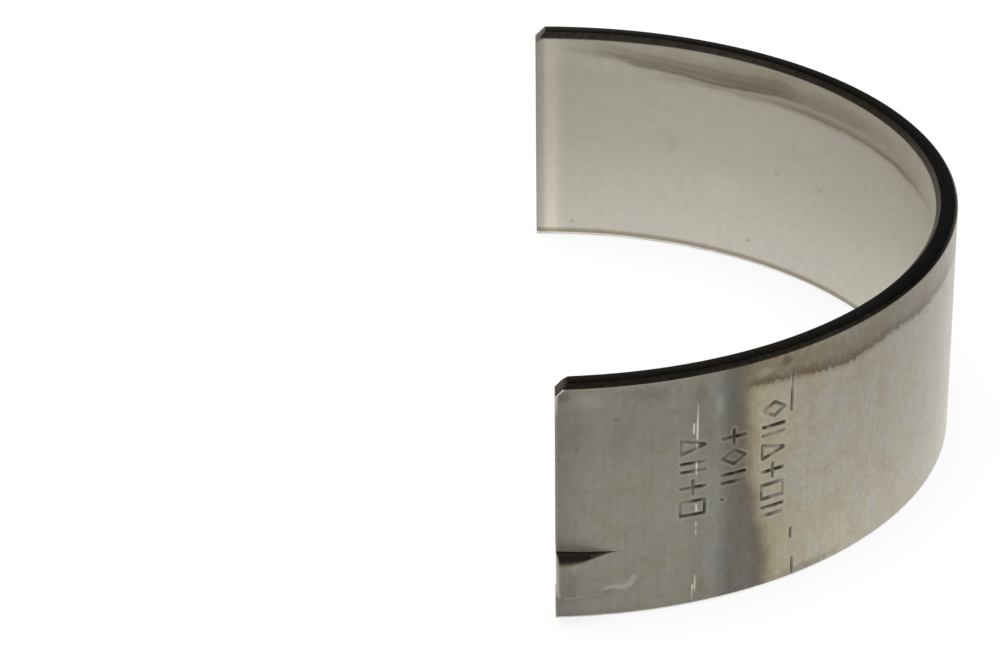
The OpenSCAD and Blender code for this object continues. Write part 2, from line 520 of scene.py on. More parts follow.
def pressAndRoll():
    tree = bpy.data.node_groups.new("pressAndRoll", "GeometryNodeTree")
    sockets = [("Shell", "OUTPUT", "Geometry"), ("Strip", "INPUT", "Geometry")]
    sockets += [(name, "INPUT", "Float") for name in pressSizes]
    sockets += [(name, "INPUT", "Object") for name in ("Marks", "Scribes", "Beads")]
    sockets += [(name, "INPUT", "Material") for name in ("Back", "Bore", "Edge")]
    for name, way, kind in sockets:
        tree.interface.new_socket(name=name, in_out=way, socket_type="NodeSocket" + kind)
    given = addNode(tree, "NodeGroupInput").node.outputs
    place = addNode(tree, "GeometryNodeInputPosition")
    along, depth, across = addNode(tree, "ShaderNodeSeparateXYZ", {0: place}).node.outputs
    onBack = addNode(tree, "ShaderNodeMapRange", {"Value": depth, "From": (0, given["Wall"])})
    onBore = addNode(tree, "ShaderNodeMath", {0: 1, 1: onBack}, operation="SUBTRACT")

    # tang: a ramp along the strip, a flank rising from the foot, sheared off at the top
    ramp = addNode(tree, "ShaderNodeMapRange",
                   {"Value": along, "From": (given["Ramp start"], given["Ramp end"]),
                    "To": (given["Tang lift"], given["Ramp aim"])}, interpolation_type="SMOOTHSTEP")
    foot = addNode(tree, "ShaderNodeMath", {0: along, 1: given["Climb slope"], 2: given["Tang foot"]},
                   operation="MULTIPLY_ADD")
    overFoot = addNode(tree, "ShaderNodeMath", {0: across, 1: foot}, operation="SUBTRACT")
    flank = addNode(tree, "ShaderNodeMath", {0: overFoot, 1: given["Flank slope"]}, operation="MULTIPLY")
    lift = addNode(tree, "ShaderNodeMath", {0: ramp, 1: flank, 2: given["Form radius"]},
                   operation="SMOOTH_MIN")
    lift = addNode(tree, "ShaderNodeMath", {0: lift, 1: 0, 2: given["Foot radius"]}, operation="SMOOTH_MAX")
    underTop = addNode(tree, "ShaderNodeMath", {0: across, 1: given["Tang top"]}, operation="LESS_THAN")

    # the upper edge is drawn over by the punch, and the end is a little rounded
    rollStart = addNode(tree, "ShaderNodeMath", {0: given["Tang top"], 1: given["Edge roll"]},
                        operation="SUBTRACT")
    edgeShare = addNode(tree, "ShaderNodeMapRange", {"Value": across, "From": (rollStart, given["Tang top"])})
    endShare = addNode(tree, "ShaderNodeMapRange",
                       {"Value": along, "From": (0, given["End roll"]), "To": (1, 0)})
    for share, drop in ((edgeShare, given["Edge drop"]), (endShare, given["End drop"])):
        fallen = quarterRound(tree, share)
        fallen = addNode(tree, "ShaderNodeMath", {0: fallen, 1: drop}, operation="MULTIPLY")
        kept = addNode(tree, "ShaderNodeMath", {0: 1, 1: fallen}, operation="SUBTRACT")
        lift = addNode(tree, "ShaderNodeMath", {0: lift, 1: kept}, operation="MULTIPLY")
    for factor in (underTop, onBack):
        lift = addNode(tree, "ShaderNodeMath", {0: lift, 1: factor}, operation="MULTIPLY")

    # the end of the tang leans back from the joint face
    riseStart = addNode(tree, "ShaderNodeMath", {0: foot, 1: given["Setback foot"]}, operation="ADD")
    riseEnd = addNode(tree, "ShaderNodeMath", {0: riseStart, 1: given["Setback rise"]}, operation="ADD")
    leaned = addNode(tree, "ShaderNodeMapRange", {"Value": across, "From": (riseStart, riseEnd)})
    reach = addNode(tree, "ShaderNodeMapRange",
                    {"Value": along, "From": (0, given["Setback reach"]), "To": (given["Setback"], 0)})
    for factor in (reach, underTop, onBack):
        leaned = addNode(tree, "ShaderNodeMath", {0: leaned, 1: factor}, operation="MULTIPLY")

    # its sheared line rises toward the end, and the back beside it is drawn along
    tilted = addNode(tree, "ShaderNodeMapRange",
                     {"Value": along, "From": (0, given["Top tilt length"]), "To": (given["Top tilt"], 0)})
    fromTop = addNode(tree, "ShaderNodeMath", {0: across, 1: given["Tang top"]}, operation="SUBTRACT")
    fromTop = addNode(tree, "ShaderNodeMath", {0: fromTop}, operation="ABSOLUTE")
    drawn = addNode(tree, "ShaderNodeMapRange",
                    {"Value": fromTop, "From": (0, given["Top tilt height"]), "To": (1, 0)},
                    interpolation_type="SMOOTHSTEP")
    for factor in (drawn, onBack):
        tilted = addNode(tree, "ShaderNodeMath", {0: tilted, 1: factor}, operation="MULTIPLY")

    # pocket behind the tang, square below and soft above
    hollow = addNode(tree, "ShaderNodeMapRange",
                     {"Value": along, "From": (0, given["Pocket length"]), "To": (given["Pocket depth"], 0)})
    softStart = addNode(tree, "ShaderNodeMath", {0: given["Pocket top"], 1: given["Pocket soft top"]},
                        operation="SUBTRACT")
    soft = addNode(tree, "ShaderNodeMapRange",
                   {"Value": across, "From": (softStart, given["Pocket top"]),
                    "To": (1, given["Pocket top share"])}, interpolation_type="SMOOTHSTEP")
    overLow = addNode(tree, "ShaderNodeMath", {0: across, 1: given["Pocket low"]}, operation="GREATER_THAN")
    underHigh = addNode(tree, "ShaderNodeMath", {0: across, 1: given["Pocket top"]}, operation="LESS_THAN")
    for factor in (soft, overLow, underHigh, onBore):
        hollow = addNode(tree, "ShaderNodeMath", {0: hollow, 1: factor}, operation="MULTIPLY")

    # strokes act by their distance in the plane of the strip
    inPlane = addNode(tree, "ShaderNodeCombineXYZ", {"X": along, "Z": across})
    distance = {}
    near = {}
    for name, size in (("Marks", "Mark width"), ("Scribes", "Scribe width"), ("Beads", "Bead width")):
        lines = addNode(tree, "GeometryNodeObjectInfo", {"Object": given[name]}).node.outputs["Geometry"]
        nearest = addNode(tree, "GeometryNodeProximity", {"Geometry": lines, "Sample Position": inPlane},
                          target_element="EDGES")
        distance[name] = nearest.node.outputs["Distance"]
        near[name] = addNode(tree, "ShaderNodeMapRange",
                             {"Value": distance[name], "From": (0, given[size]), "To": (1, 0)},
                             interpolation_type="SMOOTHSTEP")

    # marks go in with a raised lip, and all of it is harder in some places than in others
    lip = addNode(tree, "ShaderNodeMapRange",
                  {"Value": distance["Marks"], "From": (0, given["Lip width"]), "To": (1, 0)},
                  interpolation_type="SMOOTHSTEP")
    lip = addNode(tree, "ShaderNodeMath", {0: lip, 1: near["Marks"]}, operation="SUBTRACT")
    uneven = addNode(tree, "ShaderNodeTexNoise",
                     {"Vector": inPlane, "Scale": 1 / stampForce["patch"], "Detail": 2})
    force = addNode(tree, "ShaderNodeMapRange",
                    {"Value": uneven, "From": stampForce["noise"], "To": (stampForce["least"], 1)})
    stamped, lip, scribed = (
        addNode(tree, "ShaderNodeMath", {0: part, 1: force}, operation="MULTIPLY")
        for part in (near["Marks"], lip, near["Scribes"])
    )
    sunk = addNode(tree, "ShaderNodeMath", {0: stamped, 1: given["Mark depth"]}, operation="MULTIPLY")
    sunk = addNode(tree, "ShaderNodeMath", {0: scribed, 1: given["Scribe depth"], 2: sunk},
                   operation="MULTIPLY_ADD")
    raised = addNode(tree, "ShaderNodeMath", {0: lip, 1: given["Lip height"]}, operation="MULTIPLY")
    raised = addNode(tree, "ShaderNodeMath", {0: near["Beads"], 1: given["Bead height"], 2: raised},
                     operation="MULTIPLY_ADD")
    raised = addNode(tree, "ShaderNodeMath", {0: raised, 1: sunk}, operation="SUBTRACT")
    raised = addNode(tree, "ShaderNodeMath", {0: raised, 1: onBack}, operation="MULTIPLY")
    # the lips round the marks are rubbed lighter, and the beads get a painted highlight in the finish
    rubbed = addNode(tree, "ShaderNodeMath", {0: lip, 1: near["Beads"]}, operation="MAXIMUM")

    # roll: the joint faces stay flat, because each radius has its own end angle
    radius = addNode(tree, "ShaderNodeMath", {0: depth, 1: given["Bore radius"]}, operation="ADD")
    for change in (lift, hollow, raised):
        radius = addNode(tree, "ShaderNodeMath", {0: radius, 1: change}, operation="ADD")
    endAngle = addNode(tree, "ShaderNodeMath", {0: given["Joint offset"], 1: radius}, operation="DIVIDE")
    endAngle = addNode(tree, "ShaderNodeMath", {0: endAngle}, operation="ARCSINE")
    sweep = addNode(tree, "ShaderNodeMath", {0: endAngle, 1: -2, 2: math.pi}, operation="MULTIPLY_ADD")
    turned = addNode(tree, "ShaderNodeMath", {0: along, 1: leaned}, operation="ADD")
    turned = addNode(tree, "ShaderNodeMath", {0: turned, 1: given["Strip length"]}, operation="DIVIDE")
    turned = addNode(tree, "ShaderNodeMath", {0: turned, 1: sweep, 2: endAngle}, operation="MULTIPLY_ADD")
    cosine = addNode(tree, "ShaderNodeMath", {0: turned}, operation="COSINE")
    sine = addNode(tree, "ShaderNodeMath", {0: turned}, operation="SINE")
    toCrown = addNode(tree, "ShaderNodeMath", {0: sine, 1: radius}, operation="MULTIPLY")
    toRear = addNode(tree, "ShaderNodeMath", {0: cosine, 1: radius}, operation="MULTIPLY")
    toRear = addNode(tree, "ShaderNodeMath", {0: toRear, 1: -1}, operation="MULTIPLY")
    up = addNode(tree, "ShaderNodeMath", {0: across, 1: given["Half width"]}, operation="SUBTRACT")
    up = addNode(tree, "ShaderNodeMath", {0: up, 1: tilted}, operation="ADD")
    rolled = addNode(tree, "ShaderNodeCombineXYZ", {"X": toCrown, "Y": toRear, "Z": up})
    rolled = addNode(tree, "ShaderNodeVectorMath", {0: rolled, "Scale": mm}, operation="SCALE")

    # what the finishes read is stored before the strip is rolled
    made = given["Strip"]
    for name, kind, value in (("strip", "FLOAT_VECTOR", place), ("stamped", "FLOAT", stamped),
                              ("scribed", "FLOAT", scribed), ("rubbed", "FLOAT", rubbed)):
        made = addNode(tree, "GeometryNodeStoreNamedAttribute",
                       {"Geometry": made, "Name": name, "Value": value}, data_type=kind)
    made = addNode(tree, "GeometryNodeSetPosition", {"Geometry": made, "Position": rolled})
    made = addNode(tree, "GeometryNodeRealizeInstances", {"Geometry": made})

    # the back and the bore have their own finish, the rest are cut edges
    laid = addNode(tree, "GeometryNodeInputNamedAttribute", {"Name": "strip"}, data_type="FLOAT_VECTOR")
    depth = addNode(tree, "ShaderNodeSeparateXYZ", {0: laid}).node.outputs["Y"]
    nearBack = addNode(tree, "ShaderNodeMath", {0: given["Wall"], 1: given["Back skin"]},
                       operation="SUBTRACT")
    isBack = addNode(tree, "ShaderNodeMath", {0: depth, 1: nearBack}, operation="GREATER_THAN")
    isBore = addNode(tree, "ShaderNodeMath", {0: depth, 1: given["Bore skin"]}, operation="LESS_THAN")
    made = addNode(tree, "GeometryNodeSetMaterial", {"Geometry": made, "Material": given["Edge"]})
    for chosen, name in ((isBack, "Back"), (isBore, "Bore")):
        made = addNode(tree, "GeometryNodeSetMaterial",
                       {"Geometry": made, "Selection": chosen, "Material": given[name]})
    addNode(tree, "NodeGroupOutput", {"Shell": made})
    return tree


# Finishes. Each reads the place on the flat strip, in millimetres, that the tree stored.

alongStrip = (0, stripLength)
acrossStrip = (0, width)
noiseRange = (0.3, 0.7)  # noise seldom leaves this
mostLevel = 2  # no level is above this


# A new material, its shader and the place that it reads.
def newFinish(name):
    material = bpy.data.materials.new(name)
    material.use_nodes = True
    tree = material.node_tree
    place = addNode(tree, "ShaderNodeAttribute", attribute_name="strip").node.outputs["Vector"]
    return material, tree, tree.nodes["Principled BSDF"], place


# Tones, levels or heights by place, with the stops in the units of that place.
# A ramp holds no more than 1, so numbers go in as a share of the most there can be.
def graded(tree, place, span, stops, most=1):
    start, end = span
    share = addNode(tree, "ShaderNodeMapRange", {"Value": place, "From": span})
    inRamp = [((x - start) / (end - start), v if isinstance(v, str) else v / most) for x, v in stops]
    ramp = addNode(tree, "ShaderNodeValToRGB", {0: share}, stops=inRamp)
    if most == 1:
        return ramp
    return addNode(tree, "ShaderNodeMath", {0: ramp, 1: most}, operation="MULTIPLY")


# Noise in patches of some length along the strip and some height across it.
def patches(tree, place, length, height, detail, roughness=0.5):
    scale = (1 / length, 0, 1 / height)
    scaled = addNode(tree, "ShaderNodeVectorMath", {0: place, 1: scale}, operation="MULTIPLY")
    return addNode(tree, "ShaderNodeTexNoise",
                   {"Vector": scaled, "Scale": 1, "Detail": detail, "Roughness": roughness})


# Spots with soft, uneven edges: middle, half length, half height, how dark. Below 0 they are lighter.
spotEdge = {"uneven": 0.8, "fade": (0.6, 1.5)}  # fade as a share of the spot's own size


def laySpots(tree, tone, place, uneven, spots):
    for (x, z), halfLength, halfHeight, dark in spots:
        offset = addNode(tree, "ShaderNodeVectorMath", {0: place, 1: (x, 0, z)}, operation="SUBTRACT")
        offset = addNode(tree, "ShaderNodeVectorMath", {0: offset, 1: (1 / halfLength, 0, 1 / halfHeight)},
                         operation="MULTIPLY")
        reach = addNode(tree, "ShaderNodeVectorMath", {0: offset}, operation="LENGTH").node.outputs["Value"]
        reach = addNode(tree, "ShaderNodeMath", {0: uneven, 1: spotEdge["uneven"], 2: reach},
                        operation="MULTIPLY_ADD")
        kept = addNode(tree, "ShaderNodeMapRange",
                       {"Value": reach, "From": spotEdge["fade"], "To": (1 - dark, 1)},
                       interpolation_type="SMOOTHSTEP")
        tone = addNode(tree, "ShaderNodeVectorMath", {0: tone, "Scale": kept}, operation="SCALE")
    return tone


# Round specks in some cells of a pattern, of all sizes up to the largest.
def laySpecks(tree, tone, place, specks):
    cells = addNode(tree, "ShaderNodeTexVoronoi", {"Vector": place, "Scale": 1 / specks["cell"]})
    picked = addNode(tree, "ShaderNodeSeparateXYZ", {0: cells.node.outputs["Color"]}).node.outputs["X"]
    largest = specks["radius"] / specks["cell"]
    size = addNode(tree, "ShaderNodeMapRange",
                   {"Value": picked, "From": (specks["bareCells"], 1), "To": (0, largest)})
    speck = addNode(tree, "ShaderNodeMath", {0: cells, 1: size}, operation="LESS_THAN")
    speck = addNode(tree, "ShaderNodeMath", {0: speck, 1: specks["dark"]}, operation="MULTIPLY")
    return addNode(tree, "ShaderNodeMix", {"Factor": speck, "A": tone, "B": toLinear(specks["colour"])},
                   data_type="RGBA")


# Low-carbon steel strip, rolled and broached: satin and mottled, with faint streaks across the strip,
# tempered blue and straw in one band, oily and dull at the tang end, and smudged below the upper edge.
backFinish = {
    # along the strip; from 36 on they grow lighter, a painted highlight toward the crown, and fall back past
    # it
    "tones": [
        (0.2, "#7A756C"), (1.2, "#807B71"), (2.4, "#888379"), (8.6, "#898479"), (10.0, "#827C71"),
        (11.0, "#85837C"), (11.7, "#72706B"), (12.4, "#68645F"), (12.9, "#6A635A"), (13.25, "#776E5E"),
        (13.6, "#877F6B"), (14.2, "#9C9481"), (15.5, "#9C9585"), (18.0, "#9D978A"), (24.0, "#9A9489"),
        (32.0, "#9A958A"), (36.0, "#A19B8E"), (40.0, "#ADA697"), (46.0, "#B5AFA1"),
        (54.0, "#B5AFA1"), (68.0, "#A09A8E"),
    ],
    "waver": 0.45,  # the clouds shift the tones by up to this
    "band": (12.2, 13.6),  # where blue turns to straw
    "leanHeights": (1.5, 11.5),  # the straw border moves on toward the lower side
    "leanShift": (-1.6, 0),
    "film": (9.0, 13.8),  # the dull oxide film of the tang end thins out here
    "filmMetal": (0.25, 1.0),  # how metallic the film and the bare steel are
    # levels by height: at the tang end a little darker toward the upper side, and on the crown side a painted
    # highlight, strongest toward the lower side
    "endLevels": [(2.0, 0.97), (5.0, 0.98), (8.0, 1.0), (11.0, 0.95), (14.0, 0.86), (17.0, 0.88)],
    "crownHighlightLevels": [(1.0, 1.36), (2.0, 1.34), (5.0, 1.16), (8.0, 1.05), (11.0, 1.0), (14.0, 0.93)],
    "crownStart": (14, 22),
    "crownEnd": (50, 66),
    "streakPitch": 0.34,  # coarser than the real grain, which is too fine to show
    "streakLength": 9,
    "streakDepth": 0.004,
    "streakStrength": 0.2,
    "cloud": 2.2,
    "mottle": 0.5,
    "spread": {"grain": 0.06, "cloud": 0.06, "mottle": 0.08},  # lighter or darker by this
    "tinge": [(0.36, "#FFFBF3"), (0.5, "#FDFFF9"), (0.64, "#F8FCFF")],  # from warm to cool
    "roughness": (0.28, 0.36),
    "scratch": {"width": 0.1833, "length": 3.667, "noise": (0.66, 0.76), "dark": 0.2},
    "smudge": {
        "line": [  # its lower border
            (13.4, 15.95), (17.0, 15.75), (19.6, 15.45), (21.6, 15.2), (24.4, 15.35), (27.0, 15.6),
            (31.0, 15.35), (40.0, 15.5),
        ],
        "tones": [  # by height over that line
            (-0.45, "#FFFFFF"), (-0.12, "#EBE8E4"), (0.1, "#AA9F93"), (0.36, "#B4ABA0"), (0.8, "#CEC8BF"),
            (1.6, "#D0CBC3"), (2.3, "#DEDAD4"),
        ],
        "span": (-0.5, 2.5),
        "start": (12.8, 13.9),
        "fade": (36, 46),
        "drip": (0.3, 2.5),  # width and height
        "dripReach": 0.7,  # the line moves by this with the drips
        "mottleReach": 0.9,  # and with the mottling
    },
    "spots": [
        ((0.6, 17.1), 0.6, 0.6, 0.32), ((16.5, 17.2), 0.85, 0.4, 0.4), ((2.65, 3.5), 0.35, 0.16, 0.25),
        ((1.0, 3.4), 0.7, 1.3, 0.12), ((18.6, 0.55), 3.2, 0.45, 0.3), ((6.2, 16.9), 2.2, 0.8, 0.2),
        ((2.0, 16.7), 1.6, 0.8, -0.22), ((2.0, 1.2), 2.6, 0.9, -0.2), ((9.9, 16.3), 0.5, 0.9, 0.2),
        ((11.3, 15.2), 0.42, 1.2, -0.35), ((14.7, 16.8), 1.0, 0.4, -0.25), ((4.05, 15.2), 0.3, 0.13, 0.42),
        ((4.9, 15.0), 0.25, 0.2, 0.15), ((4.5, 13.8), 0.12, 0.12, 0.4), ((1.4, 13.1), 0.12, 0.25, 0.3),
        ((0.25, 12.5), 0.12, 0.11, 0.4), ((0.2, 9.0), 0.12, 0.11, 0.4), ((1.4, 7.65), 0.18, 0.09, 0.35),
        ((2.3, 7.2), 0.16, 0.14, 0.25),
    ],
    "specks": {"cell": 2.2, "radius": 0.2, "bareCells": 0.5, "dark": 0.6, "colour": "#4A453C"},
    # painted highlight along the front edge, most of all at the cut corner, where its rounded edge catches
    # the light
    "edgeHighlightWidth": 0.22,
    "edgeHighlightHeights": (15.5, 17.3),
    "edgeHighlightShare": (0.1, 0.9),
    "lipAndBeadShare": 0.36,
    "dirtAlong": (13.5, 14.5),  # the marks hold less dirt from here on
    "dirtShare": (1, 0.75),
    # painted shade on the sheared wall of the tang, and on the drawn-over edge beside it
    "wallShare": (0.85, 1),  # at its edge and at its root
    "wallTail": (3.8, 4.8),
    "rollAlong": (0.2, 2.6),
    "rollDown": (0.54, 0.1),  # it starts this far below the top, at the end and along the ramp
    "rollFull": 0.04,
    "rollShare": 0.97,
    "rollTail": (2.2, 4.4),
    # the two lightest colours also paint highlights, on the beads and along the front edge; the darkest
    # paints shade on the tang's sheared wall and the edge below it
    "colours": {"rubbed": "#C4BFB2", "dirt": "#25211B", "edgeHighlightAndScribed": "#E4DFD0", "paintedShade": "#14110D"},
    "shine": (0.5, 0.08),  # specular level of the bare metal and under the painted shade
}


def satinSteelBack():
    material, tree, shader, place = newFinish("satinSteelBack")
    along, _, across = addNode(tree, "ShaderNodeSeparateXYZ", {0: place}).node.outputs

    # grain across the strip, clouds and finer mottling
    pattern = {"grain": patches(tree, place, backFinish["streakPitch"], backFinish["streakLength"],
                                detail=3, roughness=0.7)}
    for name, roughness in (("cloud", 0.6), ("mottle", 0.55)):
        pattern[name] = addNode(tree, "ShaderNodeTexNoise",
                                {"Vector": place, "Scale": 1 / backFinish[name], "Detail": 3,
                                 "Roughness": roughness})

    # tones along the strip; the straw border leans on toward the lower side
    lean = addNode(tree, "ShaderNodeMapRange",
                   {"Value": across, "From": backFinish["leanHeights"], "To": backFinish["leanShift"]},
                   interpolation_type="SMOOTHSTEP")
    band = addNode(tree, "ShaderNodeMapRange", {"Value": along, "From": backFinish["band"]})
    leaned = addNode(tree, "ShaderNodeMath", {0: lean, 1: band, 2: along}, operation="MULTIPLY_ADD")
    waver = addNode(tree, "ShaderNodeMapRange",
                    {"Value": pattern["cloud"], "To": (-backFinish["waver"], backFinish["waver"])})
    leaned = addNode(tree, "ShaderNodeMath", {0: leaned, 1: waver}, operation="ADD")
    tone = graded(tree, leaned, alongStrip, backFinish["tones"])

    # levels by height and by pattern, with the painted highlight on the crown side
    level, crownHighlight = (
        graded(tree, across, acrossStrip, backFinish[name], mostLevel)
        for name in ("endLevels", "crownHighlightLevels")
    )
    onSide = addNode(tree, "ShaderNodeMapRange", {"Value": along, "From": backFinish["crownStart"]})
    pastCrown = addNode(tree, "ShaderNodeMapRange",
                        {"Value": along, "From": backFinish["crownEnd"], "To": (1, 0)})
    atCrown = addNode(tree, "ShaderNodeMath", {0: onSide, 1: pastCrown}, operation="MULTIPLY")
    level = addNode(tree, "ShaderNodeMix", {"Factor": band, "A": level, "B": 1})
    level = addNode(tree, "ShaderNodeMix", {"Factor": atCrown, "A": level, "B": crownHighlight})
    for name, spread in backFinish["spread"].items():
        part = addNode(tree, "ShaderNodeMapRange",
                       {"Value": pattern[name], "From": noiseRange, "To": (1 - spread, 1 + spread)})
        level = addNode(tree, "ShaderNodeMath", {0: level, 1: part}, operation="MULTIPLY")
    tone = addNode(tree, "ShaderNodeVectorMath", {0: tone, "Scale": level}, operation="SCALE")
    tinge = addNode(tree, "ShaderNodeTexNoise",
                    {"Vector": place, "Scale": 1 / backFinish["cloud"], "Detail": 4})
    tint = addNode(tree, "ShaderNodeValToRGB", {0: tinge}, stops=backFinish["tinge"])
    tone = addNode(tree, "ShaderNodeVectorMath", {0: tone, 1: tint}, operation="MULTIPLY")

    # smudge below the upper edge, darkest along its ragged lower border
    smudge = backFinish["smudge"]
    line = graded(tree, along, alongStrip, smudge["line"], width)
    over = addNode(tree, "ShaderNodeMath", {0: across, 1: line}, operation="SUBTRACT")
    drips = patches(tree, place, *smudge["drip"], detail=3, roughness=0.7)
    for moving, reach in ((drips, smudge["dripReach"]), (pattern["mottle"], smudge["mottleReach"])):
        over = addNode(tree, "ShaderNodeMath", {0: moving, 1: reach, 2: over}, operation="MULTIPLY_ADD")
        over = addNode(tree, "ShaderNodeMath", {0: over, 1: reach / 2}, operation="SUBTRACT")
    stain = graded(tree, over, smudge["span"], smudge["tones"])
    kept = addNode(tree, "ShaderNodeMapRange", {"Value": along, "From": smudge["fade"], "To": (1, 0)})
    begun = addNode(tree, "ShaderNodeMapRange", {"Value": along, "From": smudge["start"]})
    kept = addNode(tree, "ShaderNodeMath", {0: kept, 1: begun}, operation="MULTIPLY")
    stain = addNode(tree, "ShaderNodeMix", {"Factor": kept, "A": white, "B": stain}, data_type="RGBA")
    tone = addNode(tree, "ShaderNodeVectorMath", {0: tone, 1: stain}, operation="MULTIPLY")

    # short scratches across the strip
    scratch = backFinish["scratch"]
    scratched = patches(tree, place, scratch["width"], scratch["length"], detail=1)
    scratched = addNode(tree, "ShaderNodeMapRange",
                        {"Value": scratched, "From": scratch["noise"], "To": (0, scratch["dark"])})
    scratched = addNode(tree, "ShaderNodeMath", {0: scratched, 1: onSide}, operation="MULTIPLY")
    kept = addNode(tree, "ShaderNodeMath", {0: 1, 1: scratched}, operation="SUBTRACT")
    tone = addNode(tree, "ShaderNodeVectorMath", {0: tone, "Scale": kept}, operation="SCALE")

    tone = laySpots(tree, tone, place, pattern["mottle"], backFinish["spots"])
    tone = laySpecks(tree, tone, place, backFinish["specks"])

    # dirt in the marks, rubbed lips with a painted highlight on the beads, bright metal in the scribed lines,
    # and a painted highlight along the front edge
    stamped, scribed, rubbed = (
        addNode(tree, "ShaderNodeAttribute", attribute_name=name).node.outputs["Fac"]
        for name in ("stamped", "scribed", "rubbed")
    )
    # rubbed lips round the marks, and a painted highlight along the beads
    rubbed = addNode(tree, "ShaderNodeMath", {0: rubbed, 1: backFinish["lipAndBeadShare"]}, operation="MULTIPLY")
    dirt = addNode(tree, "ShaderNodeMapRange",
                   {"Value": along, "From": backFinish["dirtAlong"], "To": backFinish["dirtShare"]})
    dirt = addNode(tree, "ShaderNodeMath", {0: dirt, 1: stamped}, operation="MULTIPLY")
    cut = addNode(tree, "ShaderNodeMath", {0: across, 1: width - strip["cornerChamfer"]},
                  operation="SUBTRACT")
    cut = addNode(tree, "ShaderNodeMath", {0: cut, 1: 0}, operation="MAXIMUM")
    fromEnd = addNode(tree, "ShaderNodeMath", {0: along, 1: cut}, operation="SUBTRACT")
    # painted highlight along the front edge, strongest at the cut corner; the bright scribed lines join it
    # below
    edgeHighlightAndScribed = addNode(tree, "ShaderNodeMapRange",
                   {"Value": fromEnd, "From": (0, backFinish["edgeHighlightWidth"]), "To": (1, 0)})
    atCorner = addNode(tree, "ShaderNodeMapRange",
                       {"Value": across, "From": backFinish["edgeHighlightHeights"], "To": backFinish["edgeHighlightShare"]})
    edgeHighlightAndScribed = addNode(tree, "ShaderNodeMath", {0: edgeHighlightAndScribed, 1: atCorner}, operation="MULTIPLY")
    edgeHighlightAndScribed = addNode(tree, "ShaderNodeMath", {0: edgeHighlightAndScribed, 1: scribed}, operation="MAXIMUM")

    # the sheared wall of the tang is one row of the strip; painted shade goes on it and on over the edge
    # below it, standing in for the dark it reflects and the shade under the shear
    top = tang["top"]
    gap = strip["wallGap"]
    onWall = addNode(tree, "ShaderNodeMath", {0: across, 1: top, 2: gap}, operation="COMPARE")
    toRoot = addNode(tree, "ShaderNodeMapRange",
                     {"Value": across, "From": (top - gap, top + gap), "To": backFinish["wallShare"]})
    wallTail = addNode(tree, "ShaderNodeMapRange",
                       {"Value": along, "From": backFinish["wallTail"], "To": (1, 0)})
    for factor in (toRoot, wallTail):
        onWall = addNode(tree, "ShaderNodeMath", {0: onWall, 1: factor}, operation="MULTIPLY")
    rollFoot = addNode(tree, "ShaderNodeMapRange",
                       {"Value": along, "From": backFinish["rollAlong"],
                        "To": [top - down for down in backFinish["rollDown"]]})
    onRoll = addNode(tree, "ShaderNodeMapRange",
                     {"Value": across, "From": (rollFoot, top - backFinish["rollFull"]),
                      "To": (0, backFinish["rollShare"])}, interpolation_type="SMOOTHSTEP")
    underTop = addNode(tree, "ShaderNodeMath", {0: across, 1: top}, operation="LESS_THAN")
    rollTail = addNode(tree, "ShaderNodeMapRange",
                       {"Value": along, "From": backFinish["rollTail"], "To": (1, 0)})
    for factor in (underTop, rollTail):
        onRoll = addNode(tree, "ShaderNodeMath", {0: onRoll, 1: factor}, operation="MULTIPLY")
    paintedShade = addNode(tree, "ShaderNodeMath", {0: onWall, 1: onRoll}, operation="MAXIMUM")

    shares = {"rubbed": rubbed, "dirt": dirt, "edgeHighlightAndScribed": edgeHighlightAndScribed, "paintedShade": paintedShade}
    for name, colour in backFinish["colours"].items():
        tone = addNode(tree, "ShaderNodeMix", {"Factor": shares[name], "A": tone, "B": toLinear(colour)},
                       data_type="RGBA")
    tree.links.new(tone, shader.inputs["Base Color"])
    shine = addNode(tree, "ShaderNodeMapRange", {"Value": paintedShade, "To": backFinish["shine"]})
    tree.links.new(shine, shader.inputs["Specular IOR Level"])
    gloss = addNode(tree, "ShaderNodeMapRange",
                    {"Value": pattern["grain"], "From": noiseRange, "To": backFinish["roughness"]})
    tree.links.new(gloss, shader.inputs["Roughness"])
    bump = addNode(tree, "ShaderNodeBump",
                   {"Height": pattern["grain"], "Strength": backFinish["streakStrength"],
                    "Distance": backFinish["streakDepth"] * mm})
    tree.links.new(bump, shader.inputs["Normal"])
    metal = addNode(tree, "ShaderNodeMapRange",
                    {"Value": leaned, "From": backFinish["film"], "To": backFinish["filmMetal"]})
    tree.links.new(metal, shader.inputs["Metallic"])
    return material
